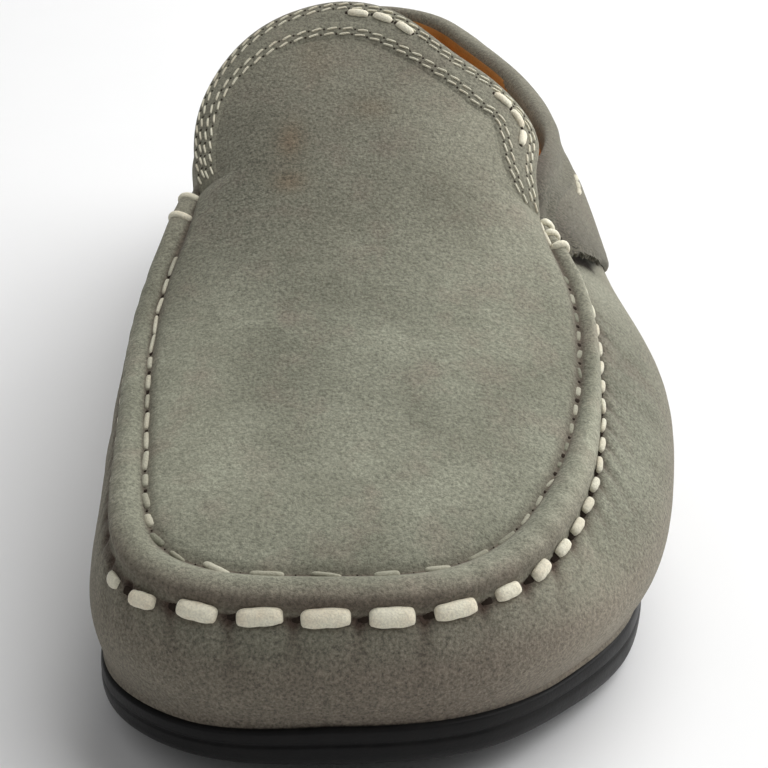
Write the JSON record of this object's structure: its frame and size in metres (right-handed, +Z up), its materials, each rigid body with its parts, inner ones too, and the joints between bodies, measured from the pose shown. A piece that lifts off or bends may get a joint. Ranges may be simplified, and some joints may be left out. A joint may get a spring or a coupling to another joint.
{
  "type": "driving loafer",
  "caption": "Low slip-on driving loafer with a raised hand-sewn toe seam, a band round the throat, a padded collar and a moulded rubber sole.",
  "frame": {"origin": "floor under the middle of the shoe's bounding box", "axes": "+Y from toe to heel, +X to the lateral side, +Z up"},
  "size_m": [0.1064, 0.2853, 0.0979],
  "materials": {
    "black_rubber": "matt moulded rubber",
    "tan_leather": "smooth",
    "grey_suede": "napped suede",
    "band_suede": "napped suede",
    "quarter_suede": "napped suede",
    "collar_suede": "napped suede over foam"
  },
  "bodies": {
    "root": {"outsole": "black_rubber", "insole": "tan_leather", "upper": "grey_suede", "throat_band": "band_suede", "side_band": "quarter_suede", "collar": "collar_suede"}
  },
  "joints": []
}
